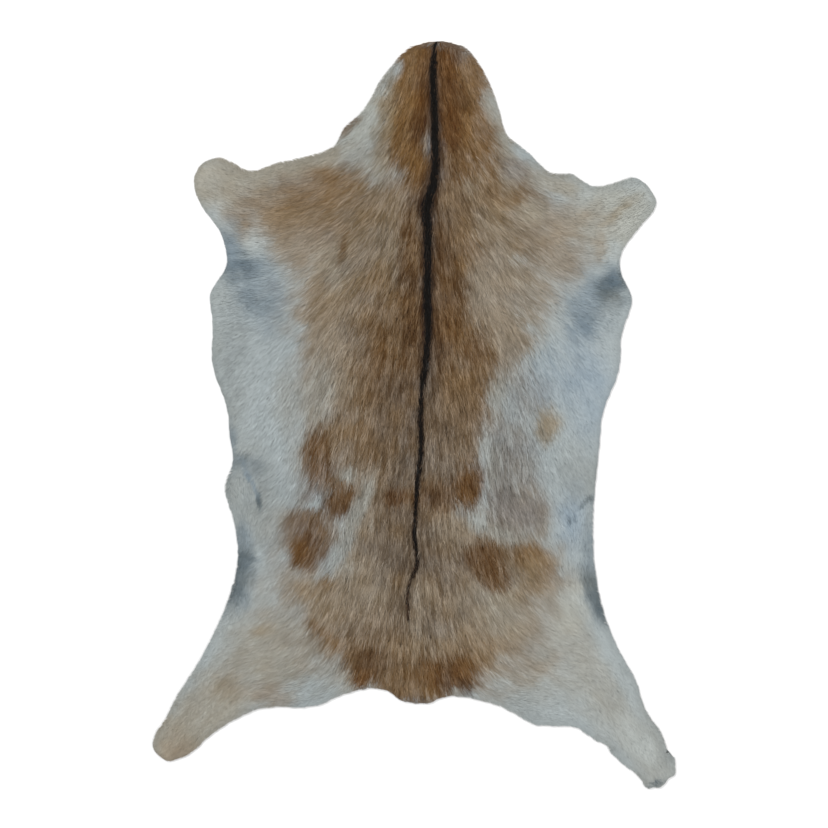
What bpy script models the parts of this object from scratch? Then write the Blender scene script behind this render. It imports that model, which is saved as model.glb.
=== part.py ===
"""A goatskin rug: one whole tanned goatskin with its hair on, laid flat, hair side up.

Metres, +Z up. The neck points to +Y, the flesh side lies on Z = 0, and the origin is under the
middle of the hide's box. Skin and hair are one solid: flat below, and above as high as the hair
lies, lumpy on the back, thin at the rim, with tufts where the hair hangs over the edge.
"""

import bmesh
import bpy
import numpy as np
from mathutils import Vector, noise

MM = 0.001

# Driving dimensions
LENGTH = 0.950          # from the neck to the longer hind leg
WIDTH = 0.662           # over the hind legs
SKIN = 0.0018           # the tanned leather
RIM_HAIR = 0.0010       # hair over the leather at the very edge
BACK_HAIR = 0.0052      # hair over the leather on the open hide
RIM_SLOPE = 0.034       # from the edge to the full height of the hair
ROUNDING = 0.003        # width of the soft edge that runs round the rim
RIM_STEP = 0.0065       # spacing of the points along the rim
TOP_GRID = 0.0125       # spacing of the points over the hair side
SAME_POINT = 0.00001    # points this close are one
CLOSE_POINTS = 0.0006   # points this close on the finished hide are merged
SHARP_ANGLE = 40        # degrees from which an edge is shaded sharp

HIDE_COLOUR = (0.33, 0.25, 0.18, 1.0)
HIDE_ROUGHNESS = 0.85

# The rim, walked clockwise from the nape, hair included.
# Columns: stretch, reach of its tufts in mm, (across, along) of its points in mm.
RIM = (
    ("neck, right", 0.4, ((29, 475), (56, 470), (90, 428), (105, 390), (117, 352))),
    ("right shoulder", 0.6, ((139, 335), (176, 304), (198, 304), (223, 288))),
    ("right foreleg", 0.5, ((251, 291), (278, 299), (298, 284), (305, 269), (281, 233))),
    ("right armpit", 0.4, ((260, 200), (260, 180), (274, 148))),
    ("right flank", 0.6, ((261, 98), (259, 61), (237, -3), (233, -43), (227, -106),
                          (227, -185))),
    ("right hind leg", 0.8, ((243, -264), (258, -300), (281, -342), (289, -370), (318, -421))),
    ("right hind hoof", 2.2, ((319, -433), (328, -435), (330, -452), (297, -475), (278, -454),
                              (251, -433), (247, -423), (231, -415))),
    ("right thigh", 1.2, ((207, -399), (150, -394), (119, -376), (71, -361))),
    ("rump", 1.0, ((43, -358), (16, -367), (-13, -365), (-38, -350), (-79, -352))),
    ("left thigh", 1.0, ((-122, -370), (-198, -375), (-251, -402))),
    ("left hind hoof", 1.0, ((-295, -436), (-314, -440), (-330, -426), (-327, -404),
                             (-317, -392))),
    ("left hind leg", 0.6, ((-306, -369), (-268, -307), (-237, -240), (-223, -183))),
    ("left flank", 0.6, ((-228, -138), (-240, -90), (-229, -62), (-233, -30), (-236, 3),
                         (-255, 63), (-255, 117))),
    ("left armpit", 0.4, ((-258, 150), (-237, 189), (-242, 223))),
    ("left foreleg", 0.5, ((-274, 274), (-279, 294), (-269, 316), (-250, 324), (-205, 307))),
    ("left shoulder", 0.6, ((-176, 317), (-132, 327), (-99, 341), (-90, 360), (-66, 383))),
    ("neck, left", 0.4, ((-39, 428), (-27, 443), (-6, 465))),
)
TUFT_PITCH = 0.015      # from one tuft of the rim to the next
TUFT_DRIFT = 0.052      # over this length the tufts crowd together and spread out again
TUFT_CROWDING = 1.8     # by how many radians they drift

# Creases and curls that the skin keeps.
# Columns: crease, from (across, along), to (across, along), half width, height (troughs < 0), in mm.
CREASES = (
    ("left flank fold", (-226, -60), (-198, -112), 7, -2.4),
    ("left flank roll", (-212, -52), (-184, -104), 9, 1.6),
    ("right flank fold", (229, -100), (192, -136), 6, -2.0),
    ("right flank roll", (222, -88), (186, -122), 8, 1.2),
    ("neck edge curl", (-80, 372), (-95, 338), 8, 2.6),
    ("left armpit pucker", (-232, 196), (-196, 176), 9, -1.2),
    ("right armpit pucker", (258, 188), (222, 172), 9, -1.2),
    ("left flank curl", (-246, 62), (-232, -40), 6, 1.2),
    ("nape hollow", (18, 452), (22, 330), 9, -0.8),
)

# Lumps of the lying hair, longer along the hide than across it.
# Columns: size across, size along, rise, in mm.
LUMPS = (
    (48, 92, 1.5),
    (23, 41, 0.9),
    (12, 26, 0.5),
)


def smooth_loop(knots, reach, step):
    """Closed curve through the knots, as points about a step apart, with the reach at each.

    Each arc is a cubic Hermite curve. Its tangent at a knot blends the directions of the two
    chords that meet there, the shorter chord counting for more.
    """
    following = np.roll(knots, -1, axis=0)
    chord = np.linalg.norm(following - knots, axis=1)[:, None]
    course = (following - knots) / chord
    chord_before = np.roll(chord, 1, axis=0)
    course_before = np.roll(course, 1, axis=0)
    tangent = (course * chord_before + course_before * chord) / (chord + chord_before)

    points = []
    reaches = []
    for k in range(len(knots)):
        after = (k + 1) % len(knots)
        count = max(2, round(chord[k, 0] / step))
        t = np.arange(count)[:, None] / count
        points.append(
            knots[k] * (2 * t**3 - 3 * t**2 + 1)
            + knots[after] * (3 * t**2 - 2 * t**3)
            + tangent[k] * chord[k] * (t**3 - 2 * t**2 + t)
            + tangent[after] * chord[k] * (t**3 - t**2)
        )
        reaches.append(reach[k] + (reach[after] - reach[k]) * t[:, 0])
    return np.vstack(points), np.concatenate(reaches)


def rim_loop():
    """The rim of the hide in metres, tufts included, fitted to the hide's length and width."""
    knots = np.array([p for _, _, points in RIM for p in points]) * MM
    reach = np.array([r for _, r, points in RIM for _ in points]) * MM
    loop, reach = smooth_loop(knots, reach, RIM_STEP)

    along = np.roll(loop, -1, axis=0) - np.roll(loop, 1, axis=0)
    along /= np.linalg.norm(along, axis=1)[:, None]
    outward = np.column_stack((-along[:, 1], along[:, 0]))
    walked = np.cumsum(np.linalg.norm(loop - np.roll(loop, 1, axis=0), axis=1))
    drift = TUFT_CROWDING * np.sin(2 * np.pi * walked / TUFT_DRIFT)
    tufts = np.sin(2 * np.pi * walked / TUFT_PITCH + drift)
    loop = loop + outward * (reach * tufts)[:, None]

    low = loop.min(axis=0)
    high = loop.max(axis=0)
    return (loop - (low + high) / 2) * np.array((WIDTH, LENGTH)) / (high - low)


def distance_to_path(places, path):
    """Distance from each place to the nearest leg of the path."""
    nearest = np.full(len(places), np.inf)
    for start, end in zip(path[:-1], path[1:]):
        leg = end - start
        share = np.clip((places - start) @ leg / (leg @ leg), 0, 1)
        offset = places - start - share[:, None] * leg
        nearest = np.minimum(nearest, np.linalg.norm(offset, axis=1))
    return nearest


def hair_height(places, loop):
    """Height of the hair side: skin, hair that deepens in from the rim, lumps and creases."""
    depth = distance_to_path(places, np.vstack((loop, loop[:1])))
    share = np.clip(depth / RIM_SLOPE, 0, 1)
    share = share * (2 - share)
    height = SKIN + RIM_HAIR + (BACK_HAIR - RIM_HAIR) * share

    for across, along, rise in LUMPS:
        size = np.array((across, along)) * MM
        lumps = np.array([noise.noise((x, y, rise)) for x, y in places / size])
        height += rise * MM * share * lumps
    for _, start, end, half_width, rise in CREASES:
        away = distance_to_path(places, np.array((start, end)) * MM)
        height += rise * MM * np.exp(-((away / (half_width * MM)) ** 2))
    return np.maximum(height, SKIN)


def flat_hide(loop):
    """The outline as a flat slab: a filled 2D curve, made a mesh with its caps welded."""
    curve = bpy.data.curves.new("hide outline", "CURVE")
    curve.dimensions = "2D"
    curve.fill_mode = "BOTH"
    curve.extrude = SKIN / 2
    spline = curve.splines.new("POLY")
    spline.points.add(len(loop) - 1)
    spline.use_cyclic_u = True
    for point, (across, along) in zip(spline.points, loop):
        point.co = (across, along, 0, 1)

    outline = bpy.data.objects.new("hide outline", curve)
    bpy.context.scene.collection.objects.link(outline)
    outline.location.z = SKIN / 2
    bpy.context.view_layer.update()
    evaluated = outline.evaluated_get(bpy.context.evaluated_depsgraph_get())
    mesh = bpy.data.meshes.new_from_object(evaluated)
    mesh.transform(outline.matrix_world)
    bpy.data.objects.remove(outline)
    return mesh


def grid_top(bm):
    """One face for the hair side, a narrow band round its rim, and a grid over the rest."""
    bmesh.ops.remove_doubles(bm, verts=bm.verts, dist=SAME_POINT)
    bm.normal_update()
    caps = [face for face in bm.faces if all(vert.co.z > SKIN / 2 for vert in face.verts)]
    top = bmesh.ops.dissolve_faces(bm, faces=caps)["region"][0]
    bmesh.ops.inset_region(bm, faces=[top], thickness=ROUNDING, use_even_offset=True)

    cut = [top, *top.edges, *top.verts]
    for normal, reach in ((Vector((1, 0, 0)), WIDTH / 2), (Vector((0, 1, 0)), LENGTH / 2)):
        for place in np.arange(-reach + TOP_GRID / 2, reach, TOP_GRID):
            cut = bmesh.ops.bisect_plane(
                bm, geom=cut, dist=SAME_POINT, plane_co=normal * place, plane_no=normal
            )["geom"]
    bmesh.ops.remove_doubles(bm, verts=bm.verts, dist=CLOSE_POINTS)


def goatskin_material():
    """Matt hair in the tan that most of the coat has."""
    material = bpy.data.materials.new("goat hair")
    material.use_nodes = True
    shader = material.node_tree.nodes["Principled BSDF"]
    shader.inputs["Base Color"].default_value = HIDE_COLOUR
    shader.inputs["Roughness"].default_value = HIDE_ROUGHNESS
    shader.inputs["Metallic"].default_value = 0.0
    return material


def goatskin(collection):
    """The hide: the flat slab, its hair side lifted to the height of the hair."""
    loop = rim_loop()
    mesh = flat_hide(loop)
    bm = bmesh.new()
    bm.from_mesh(mesh)
    grid_top(bm)

    upper = [vert for vert in bm.verts if vert.co.z > SKIN / 2]
    heights = hair_height(np.array([vert.co.xy for vert in upper]), loop)
    for vert, height in zip(upper, heights):
        vert.co.z = height

    bmesh.ops.recalc_face_normals(bm, faces=bm.faces)
    bm.to_mesh(mesh)
    bm.free()
    mesh.name = "goatskin"
    mesh.materials.clear()
    mesh.materials.append(goatskin_material())
    mesh.shade_smooth()
    mesh.set_sharp_from_angle(angle=np.radians(SHARP_ANGLE))
    hide = bpy.data.objects.new("goatskin", mesh)
    collection.objects.link(hide)


def build():
    for old in list(bpy.data.objects):
        bpy.data.objects.remove(old)
    collection = bpy.data.collections.new("goatskin rug")
    bpy.context.scene.collection.children.link(collection)
    goatskin(collection)


build()
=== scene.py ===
# %% [markdown]
# # A goatskin rug
#
# The rug is one tanned goatskin, spread flat with the hair side up. Nothing is sewn to it. What the eye
# reads is its hair: fine strands that lie nearly flat, all combed the way they grew, each with the
# colour of the spot that it grows from. So this lesson models the skin as a thin sheet, and then grows
# the coat on it, one narrow ribbon a strand, in a few joined meshes.

import bmesh
import bpy
import numpy as np
from mathutils.bvhtree import BVHTree
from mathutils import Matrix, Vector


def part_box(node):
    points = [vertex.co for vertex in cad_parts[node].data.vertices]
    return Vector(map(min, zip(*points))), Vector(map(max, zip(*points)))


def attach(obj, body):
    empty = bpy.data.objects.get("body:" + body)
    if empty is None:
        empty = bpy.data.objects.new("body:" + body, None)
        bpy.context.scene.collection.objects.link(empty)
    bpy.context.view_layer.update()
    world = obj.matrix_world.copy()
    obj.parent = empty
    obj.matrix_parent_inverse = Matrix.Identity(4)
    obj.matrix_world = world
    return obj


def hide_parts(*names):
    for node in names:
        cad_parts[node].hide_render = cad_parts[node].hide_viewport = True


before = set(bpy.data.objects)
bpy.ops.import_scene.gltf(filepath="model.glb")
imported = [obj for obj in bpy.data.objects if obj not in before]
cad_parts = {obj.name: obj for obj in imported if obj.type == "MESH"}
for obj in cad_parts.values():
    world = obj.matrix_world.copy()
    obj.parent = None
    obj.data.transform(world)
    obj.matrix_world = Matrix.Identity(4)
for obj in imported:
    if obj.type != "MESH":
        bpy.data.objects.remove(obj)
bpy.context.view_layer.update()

MM = 0.001
HIDE_NODE = "goatskin"
BODY = "root"

low, high = (np.array(corner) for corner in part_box(HIDE_NODE))
print("hide in mm:", np.round((high - low) / MM, 1))

# %% [markdown]
# ## The outline, read from the solid
#
# The solid hide already has the photographed outline. Its flat underside meets its rim along one closed
# loop of edges, and that loop is the outline. Walking it once gives the points in order. Everything else
# follows from them: the sheet of skin, how deep a spot lies inside the rim, and where hair may reach.

# %% Walk the edge of the flat underside
SAME_POINT = 0.01 * MM


def outline_of(node):
    """The underside's edge in walking order, counter-clockwise seen from above, and its area."""
    bm = bmesh.new()
    bm.from_mesh(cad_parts[node].data)
    bmesh.ops.remove_doubles(bm, verts=bm.verts, dist=SAME_POINT)
    under = {face.index for face in bm.faces if face.calc_center_median().z < SAME_POINT}
    following = {}
    for edge in bm.edges:
        sides = [face for face in edge.link_faces if face.index in under]
        if len(sides) == 1 and len(edge.link_faces) == 2:
            a, b = edge.verts
            following.setdefault(a.index, []).append(b.index)
            following.setdefault(b.index, []).append(a.index)
    start = min(following)
    walk = [start, following[start][0]]
    while walk[-1] != start:
        here, there = following[walk[-1]]
        walk.append(there if here == walk[-2] else here)
    bm.verts.ensure_lookup_table()
    loop = np.array([bm.verts[index].co[:2] for index in walk[:-1]])
    bm.free()
    after = np.roll(loop, -1, axis=0)
    area = np.sum(loop[:, 0] * after[:, 1] - after[:, 0] * loop[:, 1]) / 2
    return (loop if area > 0 else loop[::-1]), abs(area)


outline, hide_area = outline_of(HIDE_NODE)
print("outline points:", len(outline), "hide area in square metres:", round(hide_area, 4))

# %% [markdown]
# ## Two maps to grow hair by
#
# Each strand has to know how far inside the rim it stands and how high the coat lies there. Asking the
# mesh strand by strand is slow, so both answers are worked out once on a lattice a few millimetres
# apart and read back by blending the four nearest lattice points.

# %% A map of depth inside the rim and a map of the coat's height
MAP_STEP = 4 * MM
MAP_MARGIN = 24 * MM
MAP_END = 1.001         # lattice steps that a place is kept from the map's far end
CAST_FROM = 1.0         # height from which the coat's top is looked for
SKIN_TOP = 1.7 * MM


def lattice():
    """Even lattice over the hide's box and a margin round it: its corner and its x and y arrays."""
    corner = low[:2] - MAP_MARGIN
    counts = np.ceil((high[:2] + MAP_MARGIN - corner) / MAP_STEP).astype(int) + 1
    x, y = np.meshgrid(
        corner[0] + np.arange(counts[0]) * MAP_STEP,
        corner[1] + np.arange(counts[1]) * MAP_STEP,
        indexing="ij",
    )
    return corner, x, y


def depth_inside(x, y, loop):
    """Distance to the nearest side of the loop, positive inside it.

    A point is inside when a ray from it crosses the loop an odd number of times.
    """
    nearest = np.full(x.shape, np.inf)
    inside = np.zeros(x.shape, bool)
    for (ax, ay), (bx, by) in zip(loop, np.roll(loop, -1, axis=0)):
        ex, ey = bx - ax, by - ay
        share = np.clip(((x - ax) * ex + (y - ay) * ey) / (ex * ex + ey * ey), 0, 1)
        nearest = np.minimum(nearest, np.hypot(x - ax - share * ex, y - ay - share * ey))
        if ay != by:
            inside ^= ((ay > y) != (by > y)) & (x < ax + ex * (y - ay) / ey)
    return np.where(inside, nearest, -nearest)


def coat_top(x, y, outside):
    """Height of the solid hide's hair side, cast down onto it, and the given height off the hide."""
    bm = bmesh.new()
    bm.from_mesh(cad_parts[HIDE_NODE].data)
    tree = BVHTree.FromBMesh(bm)
    bm.free()
    top = np.full(x.size, outside)
    for index, (px, py) in enumerate(zip(x.flat, y.flat)):
        place = tree.ray_cast((px, py, CAST_FROM), (0, 0, -1))[0]
        if place is not None:
            top[index] = place.z
    return top.reshape(x.shape)


def read_map(values, x, y):
    """The map's value at any place, blended from the four lattice points round it."""
    u = np.clip((x - map_corner[0]) / MAP_STEP, 0, values.shape[0] - MAP_END)
    v = np.clip((y - map_corner[1]) / MAP_STEP, 0, values.shape[1] - MAP_END)
    i, j = u.astype(int), v.astype(int)
    u, v = u - i, v - j
    near = values[i, j] * (1 - u) + values[i + 1, j] * u
    far = values[i, j + 1] * (1 - u) + values[i + 1, j + 1] * u
    return near * (1 - v) + far * v


map_corner, map_x, map_y = lattice()
depth_map = depth_inside(map_x, map_y, outline)
top_map = coat_top(map_x, map_y, SKIN_TOP)
print("map points:", map_x.size, "highest coat in mm:", round(top_map.max() / MM, 1))

# %% [markdown]
# ## Smooth chance
#
# Hair is never even, but it isn't static either: neighbours resemble each other. Value noise gives that.
# Random numbers sit on a square lattice, and between them the value is blended smoothly.

# %% Value noise on whole arrays
NOISE_TABLE = 64


def noise(x, y, size, seed):
    """Smooth random values from -1 to 1 that change over the given size."""
    table = np.random.default_rng(seed).uniform(-1, 1, (NOISE_TABLE, NOISE_TABLE))
    u, v = x / size, y / size
    i, j = np.floor(u).astype(int), np.floor(v).astype(int)
    u, v = u - i, v - j
    u, v = u * u * (3 - 2 * u), v * v * (3 - 2 * v)
    i0, j0 = i % NOISE_TABLE, j % NOISE_TABLE
    i1, j1 = (i + 1) % NOISE_TABLE, (j + 1) % NOISE_TABLE
    near = table[i0, j0] * (1 - u) + table[i1, j0] * u
    far = table[i0, j1] * (1 - u) + table[i1, j1] * u
    return near * (1 - v) + far * v


# %% [markdown]
# ## The tones of the coat
#
# The coat needs only a few tones. They are written as they look, in 8-bit sRGB, and turned into the
# linear values that shaders want. Strands shade each other, so the linear values are also made a
# little brighter, by one number that was found by trying.

# %% Tones
TONES = {
    "white": (156, 164, 165),
    "bright": (168, 173, 170),
    "silver": (138, 152, 162),
    "ash": (138, 143, 141),
    "ivory": (161, 162, 154),
    "pale": (150, 150, 143),
    "cream": (147, 142, 129),
    "sand": (139, 128, 112),
    "ochre": (133, 119, 95),
    "honey": (127, 107, 81),
    "fawn": (125, 108, 84),
    "tan": (115, 92, 64),
    "amber": (117, 90, 57),
    "brown": (97, 72, 45),
    "rust": (90, 61, 31),
    "umber": (107, 91, 73),
    "roan": (125, 119, 112),
    "slate": (114, 127, 135),
    "smoke": (85, 95, 99),
    "bark": (66, 50, 37),
    "black": (10, 6, 3),
}
SHADE_GAIN = 1.105


def linear(name):
    """A tone's sRGB bytes as linear light, brightened by what the strands' own shade takes away."""
    share = np.array(TONES[name]) / 255
    return SHADE_GAIN * np.where(share <= 0.04045, share / 12.92, ((share + 0.055) / 1.055) ** 2.4)


print("tones:", len(TONES))

# %% [markdown]
# ## Where each tone lies
#
# A goat's coat is painted in layers. The ground is a cool white. Cream and pale grey lie over it on the
# legs, sand covers the shoulders, trunk and rump, and fawn, tan and brown deepen towards the back. Each
# row below is one soft oval of one tone, laid over the rows before it. All tables have the same
# columns: patch, tone, across and along of its middle, half width, half length, all in mm, turn
# counter-clockwise in degrees, softness of its edge, share of its tone.

# %% Legs, and the sand that covers the trunk
LEGS = (
    ("left foreleg", "cream", -228, 290, 62, 38, 0, 0.5, 0.85),
    ("right foreleg", "ivory", 255, 252, 54, 44, 0, 0.6, 0.9),
    ("right foreleg root", "pale", 215, 238, 32, 30, 0, 0.6, 0.7),
    ("right foreleg crease", "ochre", 258, 258, 6, 28, -54, 0.8, 0.45),
    ("left thigh", "cream", -170, -300, 62, 48, 0, 0.6, 0.8),
    ("left hind leg", "cream", -258, -375, 38, 92, -45, 0.6, 0.85),
    ("left hind hoof", "cream", -298, -416, 34, 34, -40, 0.6, 0.95),
    ("left hock", "sand", -186, -356, 34, 14, 0, 0.8, 0.8),
    ("right thigh", "pale", 155, -295, 56, 70, 0, 0.7, 0.8),
    ("right hind leg", "pale", 238, -345, 34, 110, 38, 0.7, 0.85),
    ("right hind hoof", "pale", 306, -458, 30, 30, 0, 0.7, 0.5),
    ("right hind leg edge", "white", 258, -318, 14, 70, 24, 0.7, 0.8),
    ("left flank silver", "ash", -238, 50, 26, 120, 0, 0.7, 0.6),
    ("right flank low", "ash", 216, -80, 30, 46, 0, 0.8, 0.7),
    ("right foreleg crease low", "sand", 234, 216, 8, 26, 0, 0.8, 0.5),
    ("left hind hoof brown", "sand", -296, -430, 24, 12, 20, 0.8, 0.8),
    ("left hock ochre", "ochre", -236, -340, 24, 16, 40, 0.8, 0.45),
    ("right hoof bright", "bright", 282, -412, 14, 34, 38, 0.7, 0.8),
    ("left thigh outer", "pale", -190, -228, 20, 24, 0, 0.8, 0.6),
    ("left hoof rim", "sand", -310, -424, 12, 22, -40, 0.8, 0.6),
)
SADDLE = (
    ("shoulders", "sand", -8, 242, 212, 58, 0, 0.25, 1.0),
    ("chest", "sand", 0, 160, 160, 95, 0, 0.25, 1.0),
    ("left ribs", "sand", -112, 80, 30, 120, 0, 0.5, 0.9),
    ("trunk", "sand", -14, 10, 108, 150, 0, 0.25, 1.0),
    ("right ribs", "sand", 92, 95, 56, 62, -10, 0.4, 0.95),
    ("rump", "sand", 8, -225, 170, 128, 0, 0.3, 1.0),
)

# %% Shoulders and the upper back
SHOULDERS = (
    ("left shoulder crest", "cream", -160, 312, 100, 17, 0, 0.6, 0.9),
    ("left shoulder", "honey", -116, 266, 104, 34, 0, 0.5, 0.65),
    ("left shoulder top", "tan", -96, 305, 32, 15, 0, 0.7, 0.9),
    ("left chest streak", "brown", -88, 206, 5, 26, -10, 0.6, 0.6),
    ("left back", "fawn", -42, 190, 44, 100, 0, 0.6, 0.6),
    ("left back low", "tan", -32, 60, 46, 120, 0, 0.5, 0.85),
    ("left back by the stripe", "brown", -2, 160, 17, 160, 0, 0.5, 0.8),
    ("left back deep", "brown", -42, 62, 20, 52, 0, 0.8, 0.7),
    ("right nape", "fawn", 84, 290, 72, 34, 0, 0.6, 0.85),
    ("right nape streak", "cream", 66, 294, 9, 18, 15, 0.8, 0.5),
    ("right shoulder", "fawn", 84, 256, 62, 36, 0, 0.6, 0.8),
    ("right shoulder spot", "tan", 112, 282, 32, 16, 0, 0.8, 0.6),
    ("right back", "tan", 50, 180, 21, 120, 0, 0.5, 0.9),
    ("right back by the stripe", "brown", 33, 150, 15, 165, 0, 0.5, 0.85),
    ("right back deep", "brown", 46, 120, 22, 70, 0, 0.6, 0.8),
    ("right back edge", "tan", 80, 62, 22, 58, 0, 0.6, 0.85),
    ("right back low", "tan", 62, 20, 30, 56, 0, 0.6, 0.9),
    ("right armpit sand", "sand", 184, 196, 36, 34, 0, 0.7, 0.9),
    ("right back dark", "bark", 30, 114, 12, 46, 0, 0.8, 0.45),
    ("left back dark", "bark", -2, 130, 11, 60, 0, 0.8, 0.35),
    ("lower back by the stripe", "brown", -7, 16, 18, 50, 0, 0.6, 0.85),
    ("right shoulder pale", "cream", 148, 256, 16, 14, 0, 0.8, 0.7),
    ("right back edge deep", "brown", 74, 82, 14, 22, 0, 0.8, 0.8),
    ("right back top", "tan", 70, 212, 20, 22, 0, 0.8, 0.7),
    ("right chest edge", "fawn", 147, 208, 20, 18, 0, 0.8, 0.6),
    ("left chest pale", "cream", -104, 184, 18, 24, 0, 0.8, 0.5),
    ("left armpit sand", "sand", -160, 204, 24, 20, 0, 0.8, 0.4),
    ("left chest low", "fawn", -112, 144, 28, 26, 0, 0.8, 0.6),
    ("left shoulder amber", "amber", -122, 278, 48, 16, 0, 0.8, 0.35),
    ("right nape shade", "umber", 96, 284, 46, 16, 0, 0.8, 0.55),
    ("right nape grey", "umber", 54, 262, 26, 24, 0, 0.8, 0.7),
    ("left nape by the stripe", "umber", -2, 280, 14, 28, 0, 0.8, 0.7),
    ("right shoulder pale low", "sand", 112, 232, 24, 14, 0, 0.8, 0.6),
    ("right shoulder rim", "cream", 178, 290, 30, 12, -15, 0.8, 0.8),
    ("left chest mark", "tan", -106, 234, 16, 12, 0, 0.8, 0.5),
)

# %% The waist, and the grey wedge on its right side
WAIST = (
    ("lower back", "umber", 2, -50, 70, 105, 0, 0.4, 0.8),
    ("left waist", "tan", -88, -34, 40, 44, 0, 0.6, 0.6),
    ("left waist streak", "pale", -124, 22, 18, 44, -10, 0.7, 0.7),
    ("left waist mauve", "sand", -142, -60, 16, 46, 0, 0.8, 0.3),
    ("wedge top", "roan", 144, 26, 28, 30, 0, 0.6, 0.5),
    ("wedge", "roan", 122, -76, 36, 70, 6, 0.6, 0.7),
    ("wedge foot", "roan", 134, -122, 38, 24, -10, 0.6, 1.0),
    ("wedge streak", "bright", 90, -36, 6, 20, 0, 0.8, 0.4),
    ("wedge streak low", "white", 90, -80, 5, 20, 5, 0.8, 0.4),
    ("wedge spot", "ochre", 170, -12, 14, 21, 10, 0.7, 0.85),
    ("wedge right", "silver", 176, 48, 30, 34, 0, 0.8, 0.5),
    ("wedge lower right", "sand", 146, -97, 16, 18, 0, 0.8, 0.5),
    ("left of the waist", "pale", -158, 20, 16, 34, 0, 0.8, 0.6),
    ("right waist pale", "pale", 104, 28, 12, 20, 0, 0.8, 0.7),
    ("by the stripe on the left", "roan", -12, -44, 7, 18, 0, 0.8, 0.5),
    ("wedge left", "pale", 97, -64, 8, 32, 0, 0.8, 0.6),
)

# %% The rump and the hair round the tail
RUMP = (
    ("rump mix", "fawn", 10, -215, 130, 85, 0, 0.6, 0.3),
    ("back above the rump", "umber", -12, -160, 48, 56, 0, 0.5, 0.7),
    ("left rump pale band", "white", -102, -180, 14, 34, -34, 0.7, 0.8),
    ("left hip mark", "tan", -112, -213, 8, 9, -30, 0.8, 0.6),
    ("left rump", "fawn", -118, -250, 34, 34, -20, 0.8, 0.3),
    ("left rump low", "tan", -98, -288, 24, 16, -20, 0.8, 0.6),
    ("rump low", "tan", -50, -292, 44, 40, -10, 0.7, 0.65),
    ("tail root", "umber", -14, -230, 14, 60, 0, 0.7, 0.6),
    ("right rump grey", "cream", 110, -245, 26, 40, 10, 0.8, 0.6),
    ("tail band left", "brown", -60, -318, 28, 26, -15, 0.6, 1.0),
    ("tail band left end", "tan", -84, -312, 16, 20, -20, 0.7, 0.7),
    ("tail band top", "honey", 62, -296, 54, 20, 0, 0.8, 0.8),
    ("tail middle", "tan", -10, -336, 36, 32, 0, 0.6, 0.9),
    ("tail band right", "brown", 42, -326, 40, 28, 0, 0.5, 0.95),
    ("tail band right core", "rust", 44, -332, 22, 14, 0, 0.7, 0.6),
    ("dark tuft left", "rust", -66, -334, 8, 14, -30, 0.6, 0.7),
    ("tail notch", "pale", 50, -352, 5, 8, 0, 0.6, 0.8),
    ("dark tuft right", "bark", 64, -346, 7, 14, 34, 0.6, 0.75),
    ("tail corner left", "pale", -104, -330, 20, 22, 0, 0.7, 0.8),
    ("right rump edge", "ivory", 196, -250, 16, 34, -20, 0.8, 0.7),
    ("tail left white", "white", -124, -350, 28, 14, 0, 0.8, 0.6),
    ("left thigh top", "pale", -160, -268, 20, 24, 0, 0.8, 0.7),
    ("rump right of the stripe", "umber", 38, -190, 28, 34, 0, 0.5, 0.6),
    ("rump middle right", "umber", 30, -254, 20, 26, 0, 0.8, 0.5),
    ("left rump upper", "fawn", -136, -226, 16, 13, 0, 0.8, 0.7),
    ("tail centre", "umber", -6, -350, 20, 15, 0, 0.7, 0.95),
    ("left rump amber", "amber", -116, -273, 25, 7, -38, 0.8, 0.6),
    ("left thigh ochre", "ochre", -194, -272, 15, 9, 0, 0.8, 0.6),
    ("right thigh ochre", "sand", 150, -322, 24, 14, 0, 0.8, 0.6),
    ("rump above the tail", "sand", 16, -298, 26, 12, 0, 0.8, 0.5),
    ("tail rim", "bark", 2, -364, 40, 8, 0, 0.8, 0.6),
    ("dark tuft inner", "bark", 42, -338, 6, 14, 10, 0.7, 0.4),
    ("tail middle low", "tan", 10, -352, 30, 12, 0, 0.6, 0.7),
    ("tail left corner", "pale", -82, -350, 11, 9, 0, 0.8, 0.7),
)

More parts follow.
